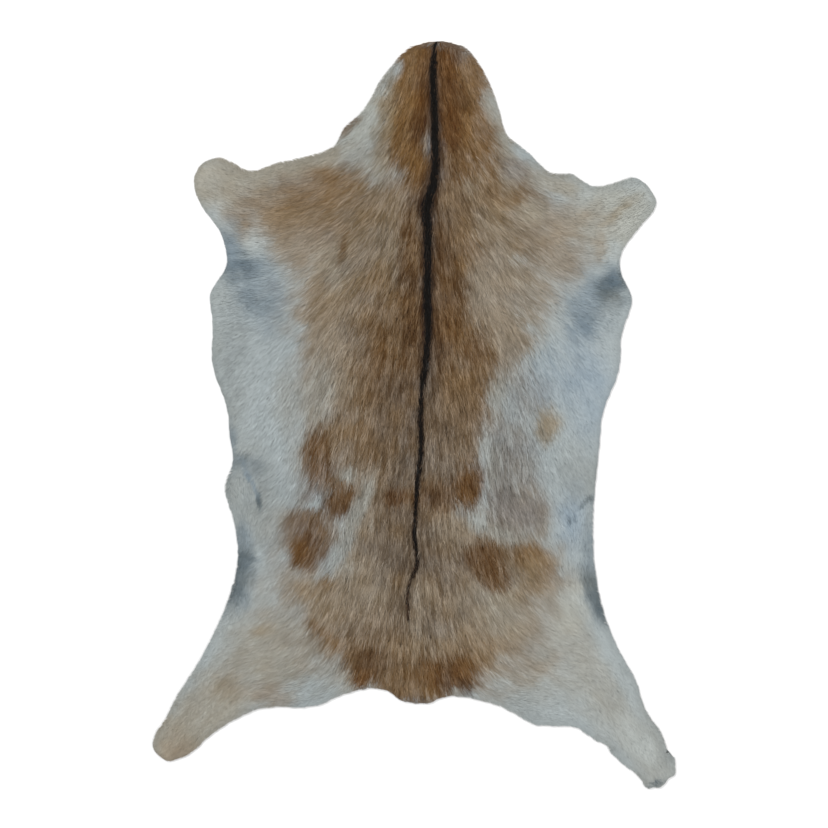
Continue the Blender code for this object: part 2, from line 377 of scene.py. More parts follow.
# %% Rust spots and the pale gaps between them
SPOTS = (
    ("left spot", "brown", -124, -54, 19, 34, 0, 0.4, 0.7),
    ("left spot tail", "brown", -114, -78, 26, 22, 10, 0.7, 0.75),
    ("left spot core", "rust", -124, -42, 9, 20, 0, 0.8, 0.15),
    ("left gap", "pale", -84, -74, 10, 11, 0, 0.8, 0.85),
    ("left small spot", "brown", -94, -112, 18, 24, -40, 0.5, 0.95),
    ("left low spot", "brown", -137, -151, 33, 30, 0, 0.35, 0.85),
    ("left low spot tip", "brown", -136, -176, 19, 22, -8, 0.5, 0.9),
    ("left low spot core", "rust", -134, -164, 18, 18, -12, 0.8, 0.2),
    ("left low spot edge", "sand", -172, -144, 18, 26, -10, 0.8, 0.5),
    ("middle spot", "rust", -22, -103, 16, 11, 0, 0.6, 0.7),
    ("right spot", "brown", 72, -88, 17, 31, 0, 0.5, 1.0),
    ("right spot core", "rust", 70, -90, 9, 12, 5, 0.8, 0.4),
    ("right spot arm", "brown", 34, -101, 40, 17, 0, 0.7, 0.85),
    ("belt", "brown", 88, -182, 26, 26, 0, 0.5, 0.9),
    ("belt low", "brown", 104, -208, 18, 14, 0, 0.5, 0.8),
    ("belt core", "rust", 88, -180, 16, 14, 0, 0.8, 0.3),
    ("belt end", "tan", 146, -178, 28, 20, -15, 0.6, 0.9),
    ("belt end low", "fawn", 155, -206, 24, 26, -30, 0.7, 0.85),
    ("right hip", "bright", 82, -136, 11, 12, 0, 0.6, 0.8),
    ("right hip band", "pale", 112, -150, 34, 9, -14, 0.7, 0.7),
    ("left flank low", "ash", -198, -138, 24, 34, 0, 0.8, 0.8),
    ("left gap streak", "pale", -75, -126, 9, 50, -24, 0.8, 0.9),
    ("above the belt", "sand", 52, -146, 24, 15, 0, 0.8, 0.6),
    ("between the left spots", "roan", -134, -102, 12, 8, 0, 0.8, 0.7),
    ("left low spot top", "tan", -124, -126, 18, 9, 0, 0.8, 0.5),
    ("left low spot side", "tan", -110, -148, 11, 16, 0, 0.8, 0.5),
    ("left gap streak foot", "pale", -86, -196, 14, 12, 0, 0.8, 0.5),
    ("belt end side", "tan", 172, -200, 12, 12, 0, 0.8, 0.5),
)

# %% The neck
NECK = (
    ("right edge", "cream", 108, 350, 14, 60, 10, 0.6, 0.8),
    ("left edge", "ivory", -60, 378, 20, 60, -28, 0.6, 0.8),
    ("left foot of the neck", "pale", -60, 326, 34, 20, 0, 0.6, 0.8),
    ("neck tip", "brown", 18, 454, 44, 22, 0, 0.6, 0.9),
    ("left lobe", "amber", -8, 388, 28, 90, -9, 0.35, 1.0),
    ("left lobe inner", "rust", 12, 380, 13, 90, -4, 0.6, 0.9),
    ("nape inner", "brown", 10, 308, 16, 34, 0, 0.6, 0.9),
    ("right lobe", "rust", 50, 384, 28, 86, 6, 0.35, 1.0),
    ("right lobe edge", "amber", 82, 364, 20, 56, 14, 0.5, 0.9),
    ("right lobe top", "amber", 76, 416, 16, 22, 20, 0.6, 0.8),
    ("right lobe pale streak", "cream", 94, 398, 8, 14, 10, 0.8, 0.5),
    ("left lobe pale edge", "white", -30, 432, 10, 26, -28, 0.6, 0.9),
    # Painted shade where the neck's left edge curls up.
    ("curled edge", "umber", -79, 366, 5, 20, -40, 0.7, 0.9),
    ("right lobe edge warm", "amber", 76, 336, 15, 24, 14, 0.7, 0.7),
    ("left shoulder corner", "cream", -112, 330, 30, 14, 20, 0.6, 0.9),
    ("right lobe crown", "amber", 74, 438, 16, 24, 20, 0.6, 0.9),
    ("right lobe foot", "brown", 48, 314, 20, 20, 0, 0.7, 0.9),
    ("left lobe foot", "amber", -2, 318, 15, 18, 0, 0.7, 0.8),
    ("left lobe rim", "ochre", -36, 372, 12, 66, -8, 0.7, 0.75),
    ("right nape corner", "roan", 122, 310, 17, 14, 0, 0.8, 0.8),
    ("left nape pale", "cream", -42, 308, 22, 14, 0, 0.8, 0.6),
    ("beside the stripe", "sand", 14, 346, 4, 16, 0, 0.8, 0.5),
    ("right nape tan", "tan", 70, 318, 34, 18, 0, 0.8, 0.5),
    ("right nape amber", "amber", 68, 312, 18, 14, 0, 0.8, 0.5),
)

# %% Thin dark hair in armpits and groins, and painted shade in the folds of the flanks and along the left rim
FOLDS = (
    # Painted shade: the next three rows grey the flanks round their folds.
    ("right groin shade", "silver", 200, -132, 18, 34, 0, 0.8, 0.8),
    ("right flank shade", "silver", 222, 40, 30, 60, 0, 0.8, 0.7),
    ("left flank shade", "ash", -208, -88, 27, 46, 0, 0.8, 0.9),
    ("left armpit wide", "slate", -196, 156, 28, 46, 12, 0.7, 0.75),
    ("left armpit", "smoke", -224, 186, 23, 17, 0, 0.7, 0.85),
    ("left armpit shine", "bright", -199, 211, 12, 13, 0, 0.7, 0.6),
    ("right armpit wide", "slate", 228, 136, 34, 38, -10, 0.55, 0.85),
    ("right armpit", "smoke", 246, 160, 15, 26, -16, 0.6, 1.0),
    # Painted shade: the next five rows darken the left flank's rim and its fold.
    ("left flank edge low", "slate", -230, -40, 7, 30, 5, 0.7, 0.7),
    ("left fold top", "smoke", -216, -58, 12, 8, -20, 0.8, 0.6),
    ("left fold", "slate", -206, -84, 3.5, 28, 20, 0.8, 0.7),
    ("left fold spot", "smoke", -198, -109, 3.5, 11, 5, 0.7, 0.9),
    ("left fold shade", "slate", -203, -66, 12, 16, -30, 0.8, 0.3),
    ("left groin top", "slate", -217, -168, 11, 30, 0, 0.7, 0.7),
    ("left groin", "smoke", -220, -206, 15, 38, -10, 0.6, 0.85),
    # Painted shade in the crease of the left groin.
    ("left groin crease", "smoke", -210, -182, 14, 5, -25, 0.7, 0.9),
    ("right groin", "smoke", 226, -228, 11, 38, 17, 0.6, 0.85),
    ("right groin top", "slate", 221, -172, 8, 26, 0, 0.7, 0.6),
    # Painted shade: the next three rows darken the crease of the right flank's fold.
    ("right fold", "smoke", 218, -112, 2.5, 12, -50, 0.7, 0.7),
    ("right fold spot", "smoke", 196, -131, 2.5, 6, 0, 0.7, 0.7),
    ("right fold second spot", "smoke", 203, -128, 2.5, 6, 0, 0.7, 0.7),
    ("right flank spot", "slate", 207, 74, 4, 5, 0, 0.8, 0.6),
    ("right flank bright", "white", 250, 100, 22, 40, 0, 0.7, 0.7),
    ("left armpit rise", "slate", -232, 208, 16, 27, 0, 0.7, 0.85),
    ("right hoof tuft", "smoke", 304, -466, 10, 3, 28, 0.8, 0.9),
    ("right armpit rim", "smoke", 258, 158, 10, 24, 0, 0.7, 0.7),
)

PATCHES = LEGS + SADDLE + SHOULDERS + WAIST + RUMP + SPOTS + NECK + FOLDS
print("patches:", len(PATCHES))

# %% [markdown]
# ## The line of the back
#
# A dark stripe marks the line of the back. It starts on the neck, bends once at the nape and once above
# the tail, and thins out there. On the nape it has a brown shade on both sides. The hair parts along
# this line, so the comb further down is measured from it too.

# %% The stripe
# Columns: along, across, width, in mm, share of the brown shade beside it.
STRIPE = (
    (471, 29, 3, 0.2),
    (458, 25, 5, 0.4),
    (448, 24, 7, 0.5),
    (422, 24, 7.5, 0.5),
    (390, 26, 8.5, 0.6),
    (357, 26, 8, 0.7),
    (324, 28, 9, 0.8),
    (299, 26, 11, 0.9),
    (284, 22.5, 12, 1.0),
    (271, 18, 12.5, 1.0),
    (258, 15.5, 11.5, 1.0),
    (243, 17, 10.5, 0.9),
    (208, 18, 9.5, 0.9),
    (170, 17, 9.5, 0.9),
    (131, 17, 9.5, 1.0),
    (106, 18, 9, 1.0),
    (87, 17, 8.4, 0.8),
    (58, 14.5, 7.5, 0.6),
    (31, 9.5, 4.6, 0.5),
    (-5, 8, 4.4, 0.3),
    (-33, 9, 5.5, 0.25),
    (-50, 9, 5.8, 0.25),
    (-80, 4.5, 5, 0.2),
    (-117, 3, 3.5, 0.2),
    (-145, 0.5, 4.5, 0.2),
    (-158, 0.5, 4, 0.2),
    (-173, 3, 3.2, 0.2),
    (-188, 5, 2.8, 0.2),
    (-204, -1, 2.2, 0.2),
    (-216, -7, 2.2, 0.2),
    (-227, -9, 2.2, 0.2),
    (-239, -8, 1.2, 0.2),
    (-251, -7.5, 0.4, 0.1),
)
STRIPE_EDGE = 2.0 * MM
STRIPE_SHADE_REACH = 7.0 * MM


def stripe_at(y):
    """Across, half width and share of the shade beside the stripe at any place along it."""
    along, across, width, shade = np.array(STRIPE[::-1]).T
    across = np.interp(y, along * MM, across * MM)
    half = np.interp(y, along * MM, width * MM, left=0) / 2
    return across, half, np.interp(y, along * MM, shade)


print("stripe in mm:", STRIPE[0][0] - STRIPE[-1][0])

# %% [markdown]
# ## The colour of any hair
#
# Two things keep the ovals from looking drawn. Their edges are bent by noise. And where a patch covers
# only in part, chance shifts how much of its tone each hair takes, so that hairs of both tones lie side
# by side, as they do on a real coat. A hair that is pale anyway takes more of the paler tone.

# %% Mix the patches
WARP = 3 * MM
WARP_SIZES = (33 * MM, 11 * MM)
EDGE_WANDER = 0.12
EDGE_WANDER_SIZE = 18 * MM
PICK = 0.3


def warped(values, x, y, seed):
    """The values shifted by a broad and a fine noise."""
    broad, fine = (noise(x, y, size, seed + step) for step, size in enumerate(WARP_SIZES))
    return values + WARP * (broad + fine)


def oval(x, y, across, along, half_width, half_length, turn, softness, wander):
    """1 inside a turned oval, 0 outside, and a smooth step of the given softness across its edge."""
    angle = np.radians(turn)
    dx, dy = x - across * MM, y - along * MM
    u = (dx * np.cos(angle) + dy * np.sin(angle)) / (half_width * MM)
    v = (dy * np.cos(angle) - dx * np.sin(angle)) / (half_length * MM)
    share = np.clip((1 + softness - np.hypot(u, v) - wander) / (2 * softness), 0, 1)
    return share * share * (3 - 2 * share)


def coat_colour(x, y, chance):
    """Linear colour of the hair at x, y.

    Where a patch covers in part, hair with a chance above a half takes more of the paler tone. The
    stripe and the brown shade beside it lie over all the patches.
    """
    warp_x = warped(x, x, y, 1)
    warp_y = warped(y, x, y, 3)
    wander = EDGE_WANDER * noise(x, y, EDGE_WANDER_SIZE, 5)
    colour = np.ones(x.shape + (1,)) * linear("white")
    for _, tone, across, along, half_width, half_length, turn, softness, share in PATCHES:
        cover = share * oval(
            warp_x, warp_y, across, along, half_width, half_length, turn, softness, wander
        )
        side = np.where(linear(tone).sum() < colour.sum(axis=-1), -1, 1)
        own = PICK * side * (chance - 0.5) * 4 * cover * (1 - cover)
        cover = np.clip(cover + own, 0, 1)[..., None]
        colour = colour * (1 - cover) + linear(tone) * cover
    middle, half, shade = stripe_at(y)
    away = np.abs(x - middle) - half
    shade = shade * np.exp(-(np.maximum(away, 0) / STRIPE_SHADE_REACH) ** 2)
    shade = np.where(half > 0, shade, 0)[..., None]
    colour = colour * (1 - shade) + linear("bark") * shade
    dark = (np.clip(0.5 - away / STRIPE_EDGE, 0, 1) * (half > 0))[..., None]
    return colour * (1 - dark) + linear("black") * dark


print("linear colour of the right ribs:", np.round(coat_colour(np.array(0.1), np.array(0.1), 0.5), 3))

# %% [markdown]
# ## Which way the hair lies
#
# Hair grows back from the neck, parts along the line of the back, and fans out over the shoulders and
# the rump. The table says how far it turns outwards from straight to the tail. It is read at the
# distance from the line of the back, and the side gives the sign. A few places have their own way:
# the legs, the groins and the folds of the flanks.

# %% The comb
# Columns: along in mm, turn outwards in degrees at 0, 50, 100, 150, 200 and 250 mm from the back line.
COMB = (
    (-350, 0, 20, 60, 80, 65, 40),
    (-299, 0, 14, 30, 58, 72, 50),
    (-236, 3, 14, 26, 46, 48, 30),
    (-160, 2, 8, 16, 28, 26, 25),
    (-84, 2, 6, 10, 22, 40, 45),
    (-8, 3, 9, 14, 22, 32, 40),
    (81, 3, 12, 20, 30, 44, 50),
    (157, 4, 18, 34, 52, 76, 80),
    (220, 5, 24, 46, 60, 80, 112),
    (285, 6, 28, 52, 66, 82, 105),
    (330, 3, 28, 52, 62, 66, 70),
    (345, 5, 34, 54, 60, 60, 60),
    (385, 6, 28, 42, 44, 44, 44),
    (430, 4, 24, 36, 38, 38, 38),
    (460, 0, 18, 28, 30, 30, 30),
)
COMB_COLUMN = 50 * MM
PARTING = 6 * MM        # within this distance of the back line the hair turns to its side
TINY = 1e-9
# Columns: place, across, along, reach, all in mm, turn in degrees, to the right positive.
COMB_PLACES = (
    ("left foreleg", -252, 294, 40, -118),
    ("right foreleg", 287, 276, 40, 112),
    ("outside the left fold", -232, -92, 18, 40),
    ("below the left fold", -222, -120, 18, 15),
    ("left flank", -215, -150, 25, 5),
    ("inside the left fold", -189, -75, 22, -58),
    ("inside the left flank", -180, -110, 22, -35),
    ("left hip", -190, -180, 28, -50),
    ("along the left fold", -207, -86, 16, 20),
    ("right fold", 195, -105, 25, 28),
    ("right flank", 222, -130, 20, 0),
    ("right flank low", 222, -180, 30, 5),
    ("left groin", -223, -223, 30, -12),
    ("right groin", 234, -236, 30, 16),
    ("left thigh", -252, -350, 45, -40),
    ("left hock", -277, -388, 40, -36),
    ("left hoof", -307, -421, 40, -32),
    ("right thigh", 249, -363, 45, 40),
    ("right hock", 277, -401, 40, 36),
    ("right hoof", 306, -452, 40, 30),
)


def unit(x, y):
    """The direction x, y made one long."""
    size = np.hypot(x, y) + TINY
    return x / size, y / size


def comb(x, y):
    """Unit direction of the tips: the table blended between its rows and columns, then the places."""
    rows = np.array(COMB)
    out = x - stripe_at(y)[0]
    column = np.minimum(np.abs(out) / COMB_COLUMN, rows.shape[1] - 2)
    turn = np.zeros(x.shape)
    for index, turns in enumerate(rows[:, 1:].T):
        turn += np.interp(y, rows[:, 0] * MM, turns) * np.clip(1 - np.abs(column - index), 0, 1)
    turn = np.radians(turn) * np.clip(out / PARTING, -1, 1)
    turn_x, turn_y = np.sin(turn), -np.cos(turn)
    for _, across, along, reach, turn in COMB_PLACES:
        away = np.hypot(x - across * MM, y - along * MM) / (reach * MM)
        weight = np.exp(-(away**2))
        turn_x = turn_x * (1 - weight) + weight * np.sin(np.radians(turn))
        turn_y = turn_y * (1 - weight) - weight * np.cos(np.radians(turn))
    return unit(turn_x, turn_y)


print("tips on the left flank point to:", np.round(comb(np.array(-0.2), np.array(0.0)), 2))

# %% [markdown]
# ## Streaks
#
# Hairs that follow each other down the coat look alike, and hairs side by side differ. Noise that is
# averaged along the comb gives just that: it changes quickly across the hair and slowly along it. The
# back and the neck have the roughest coat. Legs and flanks have short hair that lies smooth, so a
# small table says how much of each trait is lost there. A negative loss is a gain.

# %% Noise drawn out along the hair, and how smooth the coat lies
STREAK_LENGTH = 18 * MM
STREAK_STEPS = 9
CALM_WIDTH = 200 * MM   # half width and half length of the oval from whose edge on the coat is smooth
CALM_LENGTH = 600 * MM
CALM_START = 0.55       # share of the way to that edge at which the coat begins to calm
CALM_LOSS = {
    "gathering": 0.8,
    "roll": 0.8,
    "fade": 0.6,
    "lean": 0.6,
    "length": 0.1,
    "width": -0.7,
    "lift": 0.25,
    "lift's spread": 0.6,
    "fine strokes": 0.8,
    "contrast": 0.3,
}


def streaks(x, y, turn_x, turn_y, size, seed):
    """The mean of smooth noise at places along the hair, divided by its spread."""
    total = np.zeros(x.shape)
    for step in np.linspace(-STREAK_LENGTH / 2, STREAK_LENGTH / 2, STREAK_STEPS):
        total += noise(x + step * turn_x, y + step * turn_y, size, seed)
    return total / total.std()


def calm(x, y):
    """0 on the back and the neck, rising to 1 on the legs and flanks."""
    out = np.hypot((x - stripe_at(y)[0]) / CALM_WIDTH, y / CALM_LENGTH)
    return np.clip((out - CALM_START) / (1 - CALM_START), 0, 1)


def calmed(smooth, trait):
    """The share of a trait that is left where the coat is as smooth as given."""
    return 1 - CALM_LOSS[trait] * smooth


print("calm at the flank:", calm(np.array(-0.21), np.array(0.08)))

# %% Paler and darker hairs
EYE_SCALE = 2.2         # the power that turns a step as seen into linear light
CONTRAST = 0.04
CONTRAST_LOSS = 0.62
STROKE_LIMIT = 3
DARKEST = 0.1
WARMTH = np.array((0.012, 0.002, -0.012))
RIM_SHADE = 0.2
RIM_SHADE_REACH = 16 * MM


def shaded(tint, stroke, warmth):
    """Hair made paler or darker by its stroke, and redder or greyer by its warmth.

    The step is taken in the eye's own scale and is the same in all three channels, so pale hairs
    are also greyer. It shrinks with the square of how light the hair is.
    """
    light = np.clip(tint.sum(axis=1) / linear("white").sum(), 0, 1)[:, None]
    step = CONTRAST * (1 - CONTRAST_LOSS * light**2)
    seen = tint ** (1 / EYE_SCALE) + step * np.clip(stroke, -STROKE_LIMIT, STROKE_LIMIT)[:, None]
    seen = seen + WARMTH * (1 - light) * warmth[:, None]
    return np.clip(seen, DARKEST, 1) ** EYE_SCALE


def rim_shade(depth):
    """1 inside the hide, falling towards the rim, where the hair turns down and gets less light."""
    return (1 - RIM_SHADE * np.clip(1 - depth / RIM_SHADE_REACH, 0, 1))[:, None]


print("tan hair two strokes paler:", shaded(linear("tan")[None], np.array([2.0]), np.zeros(1)).round(3))

# %% [markdown]
# ## Meshes from arrays
#
# Every piece below ends as arrays: points, faces of three or four corners, a colour for each point and
# a flat map for each corner. One function turns those into a Blender mesh.

# %% Put arrays into a mesh
triangle_counts = {}


def add_piece(name, points, faces, colours, flat, material):
    """A mesh object from points, a list of face arrays, point colours and a flat place per point."""
    mesh = bpy.data.meshes.new(name)
    mesh.vertices.add(len(points))
    mesh.vertices.foreach_set("co", np.ascontiguousarray(points, np.float32).ravel())
    corners = np.concatenate([group.ravel() for group in faces]).astype(np.int32)
    sizes = np.concatenate([np.full(len(group), group.shape[1]) for group in faces])
    starts = np.concatenate(([0], np.cumsum(sizes)[:-1])).astype(np.int32)
    mesh.loops.add(len(corners))
    mesh.loops.foreach_set("vertex_index", corners)
    mesh.polygons.add(len(sizes))
    mesh.polygons.foreach_set("loop_start", starts)
    mesh.update(calc_edges=True)
    mesh.shade_smooth()
    coat = mesh.attributes.new("coat", "FLOAT_COLOR", "POINT")
    rgba = np.ones((len(points), 4), np.float32)
    rgba[:, :3] = colours
    coat.data.foreach_set("color", rgba.ravel())
    layer = mesh.uv_layers.new(name="OFBake")
    layer.data.foreach_set("uv", flat[corners].astype(np.float32).ravel())
    mesh.materials.append(material)
    piece = bpy.data.objects.new(name, mesh)
    bpy.context.scene.collection.objects.link(piece)
    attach(piece, BODY)
    triangle_counts[name] = int(np.sum(sizes - 2))
    print(name, "triangles:", triangle_counts[name])
    return piece


# %% [markdown]
# ## Shader sums as Python
#
# Node trees read badly when every sum is a node made by hand. A small class wraps a socket, so that
# plain + and * add the Math nodes, and one function makes any other node.

# %% The wrapper for sockets
class Value:
    """A socket in a node tree. Sums on it add Math nodes."""

    def __init__(self, tree, socket):
        self.tree = tree
        self.socket = socket

    def math(self, operation, first, second):
        return node(self.tree, "ShaderNodeMath", {"operation": operation}, {0: first, 1: second})

    def __add__(self, other):
        return self.math("ADD", self, other)

    def __radd__(self, other):
        return self.math("ADD", other, self)

    def __mul__(self, other):
        return self.math("MULTIPLY", self, other)

    def __rmul__(self, other):
        return self.math("MULTIPLY", other, self)


def node(tree, kind, settings, inputs, output=0):
    """Any node: its settings or a ramp's two stops first, then the values or links of its sockets."""
    made = tree.nodes.new(kind)
    for key, value in settings.items():
        if key == "stops":
            for stop, (position, colour) in zip(made.color_ramp.elements, value):
                stop.position = position
                stop.color = colour
        else:
            setattr(made, key, value)
    for key, value in inputs.items():
        if isinstance(value, Value):
            tree.links.new(value.socket, made.inputs[key])
        else:
            made.inputs[key].default_value = value
    return Value(tree, made.outputs[output])


def new_material(name, roughness, specular):
    """A material and its tree, with the shader's fixed gloss set on its own sockets."""
    material = bpy.data.materials.new(name)
    material.use_nodes = True
    shader = material.node_tree.nodes["Principled BSDF"]
    shader.inputs["Roughness"].default_value = roughness
    shader.inputs["Specular IOR Level"].default_value = specular
    return material, material.node_tree, shader


# %% [markdown]
# ## Two finishes
#
# The hair takes its colour from the strand's own points, and a faint noise along it adds what dirt and
# light do to real hair. The flesh side is napped suede: pale buff, cloudy, with pores and faint veins.

# %% The hair's material
HAIR_ROUGHNESS = 0.65
HAIR_SPECULAR = 0.12
GRIME_SCALE = 260.0
GRIME_LEAST = 0.94
GRIME_SPAN = 0.12
# The Mix node's own places for its colour sockets.
MIX_FACTOR, MIX_FIRST, MIX_SECOND, MIX_RESULT = 0, 6, 7, 2


def hair_material():
    material, tree, shader = new_material("goat hair", HAIR_ROUGHNESS, HAIR_SPECULAR)
    coat = node(tree, "ShaderNodeAttribute", {"attribute_name": "coat"}, {}, "Color")
    place = node(tree, "ShaderNodeTexCoord", {}, {}, "Object")
    cloud = node(
        tree, "ShaderNodeTexNoise", {}, {"Vector": place, "Scale": GRIME_SCALE, "Detail": 3.0}, "Fac"
    )
    grime = GRIME_LEAST + GRIME_SPAN * cloud
    tint = node(tree, "ShaderNodeCombineColor", {}, {"Red": grime, "Green": grime, "Blue": grime})
    colour = node(
        tree, "ShaderNodeMix", {"data_type": "RGBA", "blend_type": "MULTIPLY"},
        {MIX_FACTOR: 1.0, MIX_FIRST: coat, MIX_SECOND: tint}, MIX_RESULT
    )
    tree.links.new(colour.socket, shader.inputs["Base Color"])
    return material


HAIR = hair_material()
print("nodes in the hair's material:", len(HAIR.node_tree.nodes))

# %% The flesh side's material
SUEDE_ROUGHNESS = 0.9
SUEDE_SPECULAR = 0.15
SUEDE_STOPS = ((0.3, (0.50, 0.41, 0.31, 1)), (0.7, (0.70, 0.62, 0.50, 1)))
CLOUD_SCALE = 14.0
NAP_SCALE = 900.0
PORE_SCALE = 420.0
CLOUD_SHARE = 0.8       # of the colour, and the nap has the rest
NAP_SHARE = 0.6         # of the relief, and the pores have the rest
NAP_RELIEF = 0.6 * MM
NAP_STRENGTH = 0.35


def suede_material():
    material, tree, shader = new_material("goat suede", SUEDE_ROUGHNESS, SUEDE_SPECULAR)
    place = node(tree, "ShaderNodeTexCoord", {}, {}, "Object")
    cloud, nap = (
        node(tree, "ShaderNodeTexNoise", {}, {"Vector": place, "Scale": scale, "Detail": detail}, "Fac")
        for scale, detail in ((CLOUD_SCALE, 6.0), (NAP_SCALE, 2.0))
    )
    pores = node(
        tree, "ShaderNodeTexVoronoi", {"feature": "F1"}, {"Vector": place, "Scale": PORE_SCALE},
        "Distance"
    )
    blend = CLOUD_SHARE * cloud + (1 - CLOUD_SHARE) * nap
    buff = node(tree, "ShaderNodeValToRGB", {"stops": SUEDE_STOPS}, {"Fac": blend}, "Color")
    tree.links.new(buff.socket, shader.inputs["Base Color"])
    relief = nap * NAP_SHARE + pores * (1 - NAP_SHARE)
    bump = node(
        tree, "ShaderNodeBump", {},
        {"Height": relief, "Strength": NAP_STRENGTH, "Distance": NAP_RELIEF}, "Normal"
    )
    tree.links.new(bump.socket, shader.inputs["Normal"])
    return material


SUEDE = suede_material()
print("nodes in the suede:", len(SUEDE.node_tree.nodes))

# %% [markdown]
# ## The skin
#
# Tanned goat leather is about a millimetre and a half thick. The hide's outline can be seen whole from
# one point in its middle, so the sheet is the outline drawn smaller and smaller towards that point:
# ring after ring of the same shape. One such surface is the flesh side, one is the hair side, and a
# band joins them at the rim. Its edge stays a little inside the tips of the hair.

# %% The sheet of skin
SKIN_INSET = 2.6 * MM
SKIN_THICKNESS = 1.5 * MM
SKIN_CLEAR = 0.15 * MM
SKIN_RINGS = 12
# Painted shade: the hair side of the skin shows the coat's colour darkened, as in the gaps between
# strands.
SKIN_SHADE = 0.9
RING_BUNCHING = 0.6
RIPPLE = 0.25 * MM
RIPPLE_SIZE = 40 * MM


def inset_loop(loop, amount):
    """The loop drawn inwards: each point moves along the inward normal of its two neighbours."""
    along = np.roll(loop, -2, axis=0) - np.roll(loop, 2, axis=0)
    along /= np.linalg.norm(along, axis=1)[:, None]
    return loop + amount * np.column_stack((-along[:, 1], along[:, 0]))


def skin_sheet():
    """Rings P = middle + s (rim - middle), with s bunched near the rim, above and below."""
    rim = inset_loop(outline, SKIN_INSET)
    middle = rim.mean(axis=0)
    s = (1 - np.linspace(0, 1, SKIN_RINGS, endpoint=False) ** (1 / RING_BUNCHING))[:, None, None]
    rings = middle + s * (rim - middle)
    count = len(rim)
    flat_places = np.vstack((rings.reshape(-1, 2), middle[None]))
    x, y = flat_places.T
    lower = SKIN_CLEAR + np.abs(RIPPLE * noise(x, y, RIPPLE_SIZE, 21))
    upper = lower + SKIN_THICKNESS
    points = np.vstack((np.column_stack((x, y, upper)), np.column_stack((x, y, lower))))

    ring = np.arange(count)
    after = np.roll(ring, -1)
    first = np.arange(SKIN_RINGS - 1)[:, None] * count
    quads = np.stack(
        (first + ring, first + after, first + count + after, first + count + ring), -1
    ).reshape(-1, 4)
    last = (SKIN_RINGS - 1) * count
    centre = SKIN_RINGS * count
    fan = np.column_stack((last + ring, last + after, np.full(count, centre)))
    under = centre + 1
    band = np.column_stack((ring + under, after + under, after, ring))
    faces = [quads, fan, quads[:, ::-1] + under, fan[:, ::-1] + under, band]

    # Painted shade: the coat's colour darkened, for the skin seen deep between the strands.
    tint = SKIN_SHADE * coat_colour(x, y, np.full(x.shape, 0.5))
    flat = np.column_stack(((x - low[0]) / 2, y - low[1])) / (high[1] - low[1])
    flat = np.vstack((flat, flat + (0.5, 0)))
    piece = add_piece("skin", points, faces, np.vstack((tint, tint)), flat, HAIR)
    piece.data.materials.append(SUEDE)
    slots = np.zeros(len(piece.data.polygons), np.int32)
    slots[len(quads) + len(fan):] = 1
    piece.data.polygons.foreach_set("material_index", slots)
    return piece


skin = skin_sheet()

# %% [markdown]
# ## Locks and strands
#
# Hairs don't lie singly. Those that grow side by side drift together into small pointed locks. So each
# strand belongs to a lock, shares its lean and height, and its tip is drawn towards the lock's own
# line. A strand is a ribbon of two steps: it leaves the skin, bends over, and ends in a point. Its place
# on the flat map is a small cell of its own, laid out as the roots are on the hide, so that a picture
# baked through the map looks like the coat.

# %% Random roots and the locks that they belong to
LOCK = 4.2 * MM
LOCK_TABLE = 256
LOCK_SEED = 77


def scatter(pitch, rng):
    """One root in every cell of a lattice over the hide, at a random place in its cell."""
    counts = np.ceil((high[:2] - low[:2]) / pitch).astype(int)
    column, row = (grid.ravel() for grid in np.meshgrid(*map(np.arange, counts), indexing="ij"))
    x = low[0] + (column + rng.uniform(0, 1, column.size)) * pitch
    y = low[1] + (row + rng.uniform(0, 1, row.size)) * pitch
    return x, y, column, row, counts.max()


def locks(x, y):
    """For each strand, its lock's middle and number: the nearest of nine jittered lattice points."""
    shift = np.random.default_rng(LOCK_SEED).uniform(0, 1, (2, LOCK_TABLE, LOCK_TABLE))
    column, row = np.floor(x / LOCK).astype(int), np.floor(y / LOCK).astype(int)
    nearest = np.full((4, len(x)), np.inf)
    for step_x in (-1, 0, 1):
        for step_y in (-1, 0, 1):
            i, j = (column + step_x) % LOCK_TABLE, (row + step_y) % LOCK_TABLE
            lock_x = (column + step_x + shift[0, i, j]) * LOCK
            lock_y = (row + step_y + shift[1, i, j]) * LOCK
            away = np.hypot(x - lock_x, y - lock_y)
            found = np.stack((away, lock_x, lock_y, i * LOCK_TABLE + j))
            nearest = np.where(away < nearest[0], found, nearest)
    return nearest[1], nearest[2], nearest[3].astype(int)


# %% Grow strands from their roots
# At a strand's root, bend and tip: share of its length, of its height, of its width, and its tint.
STEPS = np.array((0.0, 0.5, 1.0))
RISE = np.array((0.0, 0.8, 1.0))
SHAPE = np.array((0.8, 1.0, 0.0))
FADE = np.array((0.86, 1.0, 1.04))
CORNERS = [0, 0, 1, 1, 2]   # which of those three each of a strand's five points belongs to
ROOT_SINK = 0.2 * MM
TIP_OVER = 1.2 * MM
LEAST_FALL = 0.1 * MM
SHORTEST = 0.15
STRAND_BOW = 0.05
STRAND_ROLL = 0.3
GATHER = 0.5
CELL_SIDE = 0.2
CELL_END = 0.1


